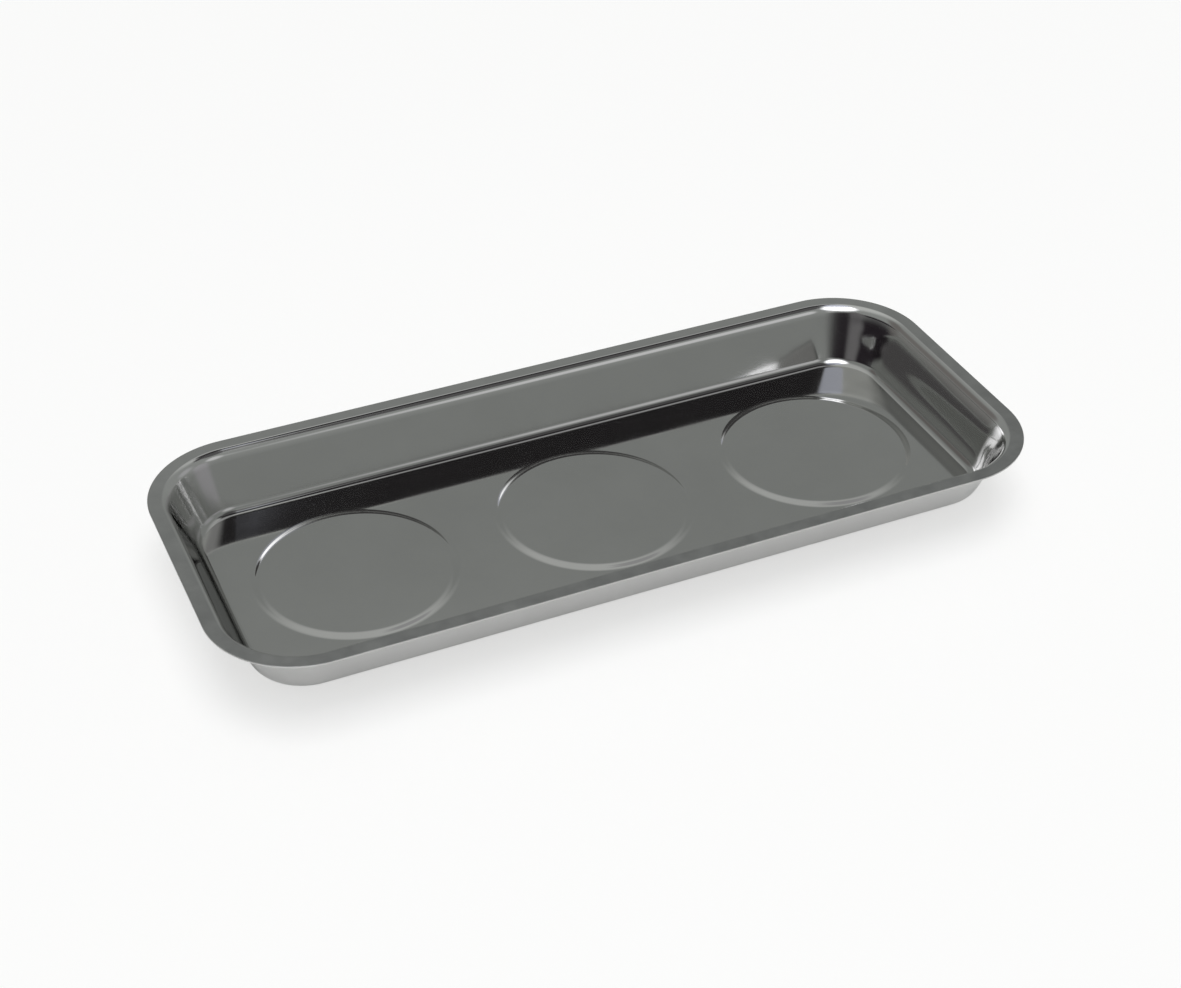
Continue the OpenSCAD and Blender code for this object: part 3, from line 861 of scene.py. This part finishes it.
class TRAY_OT_stage(bpy.types.Operator):
    """Lays a pale floor, surrounds it with a soft studio, and places the camera"""
    bl_idname = "parts_tray.stage"
    bl_label = "Studio stage"

    def execute(self, context):
        context.scene.view_settings.view_transform = "Standard"
        pale = (*context.scene.parts_tray_finishes.floor, 1.0)
        self.lay_floor(context, pale)
        self.surround(context.scene, pale)
        self.hang_softbox(context)
        self.place_camera(context)
        return {"FINISHED"}

    def lay_floor(self, context, pale):
        """A plain floor, on which the tray's shadow falls."""
        width, lit_near, lit_far = 30, 0.4, 1.6
        lit_for_mirrors, lit_for_eye = 0.9, 0.36
        clear_selection()
        bpy.ops.mesh.primitive_plane_add(size=width)
        floor = context.object
        floor.name = floor.data.name = "floor"
        material, tree, place = new_material("pale_floor")
        path = node(tree, "LightPath").outputs
        # It glows to the eye and to mirrors, and near the tray it takes a share of its tone from the light
        seen = node(tree, "Math", {0: path["Is Camera Ray"], 1: path["Is Glossy Ray"]}, operation="ADD")
        seen = node(tree, "Math", {0: seen.outputs[0], 1: path["Is Transmission Ray"]}, operation="ADD")
        glow = node(tree, "Emission", {"Color": pale, "Strength": seen.outputs[0]})
        matt = node(tree, "BsdfDiffuse", {"Color": pale})
        away = node(tree, "VectorMath", {0: place}, operation="LENGTH")
        share = node(tree, "MapRange", {
            0: path["Is Camera Ray"], 1: 0.0, 2: 1.0, 3: lit_for_mirrors, 4: lit_for_eye})
        lit = node(tree, "MapRange", {
            0: away.outputs["Value"], 1: lit_near, 2: lit_far, 3: share.outputs[0], 4: 0.0})
        toned = node(tree, "MixShader", {0: lit.outputs[0], 1: glow.outputs[0], 2: matt.outputs[0]})
        # From below it is clear, and light passes up through it to the matt pieces that stand on it
        under = node(tree, "NewGeometry").outputs["Backfacing"]
        through = node(tree, "Math", {0: under, 1: path["Is Shadow Ray"]}, operation="MAXIMUM")
        through = node(tree, "Math", {0: through.outputs[0], 1: path["Is Diffuse Ray"]}, operation="MAXIMUM")
        clear = node(tree, "BsdfTransparent")
        mix = node(tree, "MixShader", {0: through.outputs[0], 1: toned.outputs[0], 2: clear.outputs[0]})
        node(tree, "OutputMaterial", {"Surface": mix.outputs[0]})
        floor.data.materials.append(material)

    def surround(self, scene, pale):
        """A grey room with a pale ceiling, a big softbox in front, and cards that the steel reflects."""
        room, ground = (0.270, 0.280, 0.273, 1.0), (0.8, 0.8, 0.8, 1.0)
        # Azimuth and height of the middle, inner and outer edge, in degrees, then stretch and brightness
        patches = {
            "ceiling": (25, 84, 22, 48, 1.0, (0.52, 0.53, 0.52)),
            "black card": (106, 71, 10, 12.5, 1.0, (0.03, 0.028, 0.03)),
            "black card, upper end": (124, 79, 6, 9, 1.0, (0.03, 0.028, 0.03)),
            "black card, lower end": (116, 55, 4, 9, 1.0, (0.05, 0.047, 0.05)),
            "right wall": (105, 20, 4, 16, 1.0, (0.38, 0.38, 0.39)),
            "right wall, front end": (133, 5, 6, 16, 1.0, (0.36, 0.355, 0.37)),
            "dark left side": (-118, -4, 69, 81, 3.9, (0.022, 0.018, 0.022)),
            "dark card, right front": (140, 58, 8, 14, 1.0, (0.09, 0.088, 0.09)),
            "white card, right front": (154, 26, 4, 15, 1.0, (0.6, 0.6, 0.61)),
            "softbox": (-157, 58, 12, 29, 0.7, (2.85, 2.85, 3.0)),
            "gap in the dark side": (-124, 11, 3, 17, 1.0, (0.17, 0.165, 0.17)),
            "gap in the dark side, upper end": (-127, 24, 4, 11, 1.0, (0.13, 0.125, 0.13)),
            "grey card, right back": (62, 66, 5, 12, 1.0, (0.37, 0.37, 0.375)),
            "glow under the softbox": (-169, 25, 4, 8, 1.0, (0.44, 0.44, 0.44)),
            "skylight": (-176, 77, 9, 13, 1.0, (0.62, 0.64, 0.74)),
            "dim left back": (-50, 25, 5, 21, 0.7, (0.16, 0.15, 0.145)),
        }
        world = scene.world or bpy.data.worlds.new("studio")
        scene.world = world
        world.use_nodes = True
        tree = world.node_tree
        tree.nodes.clear()
        way = node(tree, "TexCoord").outputs["Generated"]
        colour = room
        for name, (*patch, tone) in patches.items():
            inside = soft_patch(tree, way, *patch)
            mix = node(tree, "Mix", {0: inside, 6: colour, 7: (*tone, 1.0)}, data_type="RGBA", label=name)
            colour = mix.outputs[2]
        up = node(tree, "SeparateXYZ", {0: way}).outputs["Z"]
        ground_starts, ground_whole = -0.02, -0.1
        below = node(tree, "MapRange", {0: up, 1: ground_starts, 2: ground_whole, 3: 0.0, 4: 1.0})
        mix = node(tree, "Mix", {0: below.outputs[0], 6: colour, 7: ground}, data_type="RGBA")
        # Behind the tray the eye sees the floor's own pale tone
        eye = node(tree, "LightPath").outputs["Is Camera Ray"]
        mix = node(tree, "Mix", {0: eye, 6: mix.outputs[2], 7: pale}, data_type="RGBA")
        back = node(tree, "Background", {"Color": mix.outputs[2], "Strength": 1.0})
        node(tree, "OutputWorld", {"Surface": back.outputs[0]})

    def hang_softbox(self, context):
        """The softbox's own light on matt faces: mirrors see it in the surroundings alone."""
        distance, size, watts = 4.0, 2.4, 84
        azimuth, height = -168, 78
        clear_selection()
        bpy.ops.object.light_add(type="AREA", location=distance * toward(azimuth, height))
        lamp = context.object
        lamp.name = lamp.data.name = "softbox"
        lamp.rotation_euler = lamp.location.to_track_quat("Z", "Y").to_euler()
        lamp.data.size = size
        lamp.data.energy = watts
        lamp.visible_glossy = False

    def place_camera(self, context):
        """Stands the camera where the fit to the photographed outline puts it."""
        azimuth, height, roll = -156.046, 36.152, math.radians(-0.143)
        distance, right_by, up_by = 870.53 * MM, -1.57 * MM, 6.62 * MM
        focal_px, sensor_mm = 2094.8, 36
        back = toward(azimuth, height)
        right = (-back).cross(Vector((0, 0, 1))).normalized()
        up = right.cross(-back)
        target = Vector((0, 0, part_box("tray")[0].z))
        stand = target + back * distance + right * right_by + up * up_by
        facing = Matrix((
            right * math.cos(roll) + up * math.sin(roll),
            up * math.cos(roll) - right * math.sin(roll),
            back)).transposed()
        bpy.ops.object.camera_add()
        camera = context.object
        camera.name = camera.data.name = "camera"
        camera.matrix_world = Matrix.Translation(stand) @ facing.to_4x4()
        camera.data.sensor_width = sensor_mm
        camera.data.lens = sensor_mm * focal_px / IMAGE_WIDTH_PX
        context.scene.camera = camera


OPERATORS = (
    TRAY_OT_drawn_tray, TRAY_OT_rubber_covers, TRAY_OT_washers, TRAY_OT_screws, TRAY_OT_inner_finishes,
    TRAY_OT_stage,
)


class TRAY_PT_build(bpy.types.Panel):
    """Builds the tray piece by piece"""
    bl_idname = "TRAY_PT_build"
    bl_label = "Parts tray"
    bl_space_type = "VIEW_3D"
    bl_region_type = "UI"
    bl_category = "Parts Tray"

    def draw(self, context):
        for operator in OPERATORS:
            self.layout.operator(operator.bl_idname)


GROUPS = {
    "parts_tray_sizes": TraySizes,
    "parts_tray_stations": StationSizes,
    "parts_tray_finishes": Finishes,
}
CLASSES = (*GROUPS.values(), *OPERATORS, TRAY_PT_build)


def register():
    for cls in CLASSES:
        bpy.utils.register_class(cls)
    for name, group in GROUPS.items():
        setattr(bpy.types.Scene, name, PointerProperty(type=group))


def unregister():
    for name in GROUPS:
        delattr(bpy.types.Scene, name)
    for cls in reversed(CLASSES):
        bpy.utils.unregister_class(cls)


def main():
    register()
    bpy.ops.parts_tray.drawn_tray()
    bpy.ops.parts_tray.rubber_covers()
    bpy.ops.parts_tray.washers()
    bpy.ops.parts_tray.screws()
    bpy.ops.parts_tray.inner_finishes()
    bpy.ops.parts_tray.stage()


if __name__ == "__main__":
    main()
